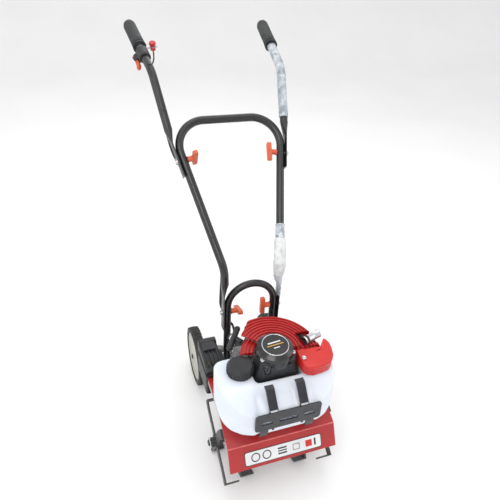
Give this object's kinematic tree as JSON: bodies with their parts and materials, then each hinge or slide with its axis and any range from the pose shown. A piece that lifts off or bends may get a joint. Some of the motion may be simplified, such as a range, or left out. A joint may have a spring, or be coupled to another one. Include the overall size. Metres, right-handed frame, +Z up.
{
  "type": "mini cultivator",
  "caption": "Petrol mini cultivator: ribbed engine cover, saddle fuel tank, bent tine guard, L-shaped tines on a worm gearbox, two wheels, folding tube handle with throttle and stop button.",
  "frame": {"origin": "on the ground, on the machine's middle plane, 65 mm behind the tine shaft's axis line", "axes": "+Z up, -Y forwards (the tines lead, the operator walks behind at +Y), +X to the side of the muffler"},
  "size_m": [0.4498, 0.9208, 1.0413],
  "materials": {
    "black_tube": "satin black powder coat",
    "red_metal": "satin red paint",
    "red_plastic": "gloss red moulding",
    "black_plastic": "grained black moulding",
    "white_tank": "translucent white polyethylene",
    "black_rubber": "ribbed rubber",
    "tyre": "solid tyre rubber",
    "wheel_disc": "pale plastic",
    "orange_plastic": "orange moulding",
    "red_button": "red button",
    "cast_aluminium": "die cast",
    "steel": "machined steel",
    "plated_steel": "zinc plated",
    "tine_steel": "dark grey hammered paint",
    "bronze": "bronze",
    "dark_steel": "heat-proof black",
    "film": "crinkled packing film",
    "foam": "white packing foam"
  },
  "bodies": {
    "base": {"tine_guard": "red_metal", "base_arch": "black_tube", "gearbox_housing": "cast_aluminium", "gearbox_cover": "cast_aluminium", "shaft_bearings": "steel", "wheel_frame": "black_tube", "wheel_axle": "steel", "crankcase": "cast_aluminium", "cylinder": "cast_aluminium", "piston": "cast_aluminium", "engine_shroud": "red_plastic", "starter_cap": "black_plastic", "front_cowl": "black_plastic", "side_panel": "red_plastic", "muffler": "dark_steel", "fuel_tank": "white_tank", "tank_bracket": "black_tube", "filter_base": "black_plastic", "filter_cover": "black_plastic", "carburettor": "cast_aluminium", "spark_plug": "black_rubber", "base_bolts": "plated_steel", "cable_engine": "black_rubber"},
    "crank": {"crankshaft": "steel", "flywheel": "cast_aluminium", "clutch_shoes": "steel"},
    "worm": {"worm_shaft": "steel", "clutch_drum": "steel"},
    "tines": {"tine_shaft": "tine_steel", "worm_wheel": "bronze", "tine_outer_left": "tine_steel", "tine_inner_left": "tine_steel", "tine_inner_right": "tine_steel", "tine_outer_right": "tine_steel", "tine_clips": "plated_steel"},
    "starter_pulley": {"starter_pulley": "steel"},
    "starter_grip": {"starter_grip": "black_plastic"},
    "fuel_cap": {"fuel_cap": "black_plastic"},
    "wheel_left": {"wheel_left": "wheel_disc", "tyre_left": "tyre"},
    "wheel_right": {"wheel_right": "wheel_disc", "tyre_right": "tyre"},
    "lower_handle": {"lower_handle": "black_tube", "upper_pivot_bolts": "plated_steel", "cable_lower": "black_rubber", "packing_foam": "foam"},
    "upper_left": {"upper_handle_left": "black_tube", "grip_left": "black_rubber", "switch_clamp": "plated_steel", "cable_upper": "black_rubber", "throttle_housing": "black_plastic"},
    "throttle_trigger": {"throttle_trigger": "orange_plastic"},
    "kill_button": {"kill_button": "red_button"},
    "upper_right": {"upper_handle_right": "black_tube", "grip_right": "black_rubber", "packing_film": "film"},
    "lower_knob_left": {"lower_knob_left": "orange_plastic"},
    "lower_knob_right": {"lower_knob_right": "orange_plastic"},
    "upper_knob_left": {"upper_knob_left": "orange_plastic"},
    "upper_knob_right": {"upper_knob_right": "orange_plastic"}
  },
  "joints": [
    {"name": "crank_spin", "type": "hinge", "parent": "base", "child": "crank", "pos_m": [0, -0.04968, 0.30269], "axis": [0, -0.1045, 0.9945], "continuous": true},
    {"name": "worm_spin", "type": "hinge", "parent": "base", "child": "worm", "pos_m": [0, -0.03547, 0.16743], "axis": [0, -0.1045, 0.9945], "continuous": true},
    {"name": "tine_spin", "type": "hinge", "parent": "base", "child": "tines", "pos_m": [0, -0.065, 0.104], "axis": [1, 0, 0], "continuous": true},
    {"name": "starter_pull", "type": "slide", "parent": "base", "child": "starter_grip", "axis": [-0.6283, 0.7737, 0.0813], "range_m": [0, 0.5], "stiffness_N_per_m": 8, "springref_m": -0.15},
    {"name": "pulley_spin", "type": "hinge", "parent": "base", "child": "starter_pulley", "pos_m": [0, -0.05867, 0.38822], "axis": [0, -0.1045, 0.9945], "range_deg": [-1300, 0]},
    {"name": "fuel_cap_turn", "type": "hinge", "parent": "base", "child": "fuel_cap", "pos_m": [-0.09, -0.066, 0.368], "axis": [0, 0, 1], "range_deg": [0, 720]},
    {"name": "wheel_left_spin", "type": "hinge", "parent": "base", "child": "wheel_left", "pos_m": [-0.125, 0.268, 0.096], "axis": [1, 0, 0], "continuous": true},
    {"name": "wheel_right_spin", "type": "hinge", "parent": "base", "child": "wheel_right", "pos_m": [0.125, 0.268, 0.096], "axis": [1, 0, 0], "continuous": true},
    {"name": "lower_handle_fold", "type": "hinge", "parent": "base", "child": "lower_handle", "pos_m": [0, 0.129, 0.383], "axis": [1, 0, 0], "range_deg": [-50, 45]},
    {"name": "upper_left_fold", "type": "hinge", "parent": "lower_handle", "child": "upper_left", "pos_m": [-0.13639, 0.32488, 0.75401], "axis": [0.9813, 0.1255, 0.1458], "range_deg": [0, 150]},
    {"name": "upper_right_fold", "type": "hinge", "parent": "lower_handle", "child": "upper_right", "pos_m": [0.13639, 0.32488, 0.75401], "axis": [0.9813, -0.1255, -0.1458], "range_deg": [0, 150]},
    {"name": "throttle_squeeze", "type": "hinge", "parent": "upper_left", "child": "throttle_trigger", "pos_m": [-0.21017, 0.57881, 0.95962], "axis": [-0.7133, -0.2786, 0.6431], "range_deg": [0, 9], "stiffness_Nm_per_rad": 0.5, "springref_deg": -5.73},
    {"name": "kill_press", "type": "slide", "parent": "upper_left", "child": "kill_button", "axis": [0.1, 0.3144, -0.944], "range_m": [0, 0.003], "stiffness_N_per_m": 400, "springref_m": -0.002},
    {"name": "lower_knob_left_turn", "type": "hinge", "parent": "base", "child": "lower_knob_left", "pos_m": [-0.045, 0.129, 0.383], "axis": [1, 0, 0], "range_deg": [0, 360]},
    {"name": "lower_knob_right_turn", "type": "hinge", "parent": "base", "child": "lower_knob_right", "pos_m": [0.045, 0.129, 0.383], "axis": [-1, 0, 0], "range_deg": [0, 360]},
    {"name": "upper_knob_left_turn", "type": "hinge", "parent": "lower_handle", "child": "upper_knob_left", "pos_m": [-0.13639, 0.32488, 0.75401], "axis": [0.9813, 0.1255, 0.1458], "range_deg": [0, 360]},
    {"name": "upper_knob_right_turn", "type": "hinge", "parent": "lower_handle", "child": "upper_knob_right", "pos_m": [0.13639, 0.32488, 0.75401], "axis": [-0.9813, 0.1255, 0.1458], "range_deg": [0, 360]}
  ],
  "couplings": [
    {"joint": "worm_spin", "follows": "crank_spin", "ratio": 1},
    {"joint": "tine_spin", "follows": "crank_spin", "ratio": -0.033333},
    {"joint": "pulley_spin", "follows": "starter_pull", "rad_per_m": -41}
  ]
}
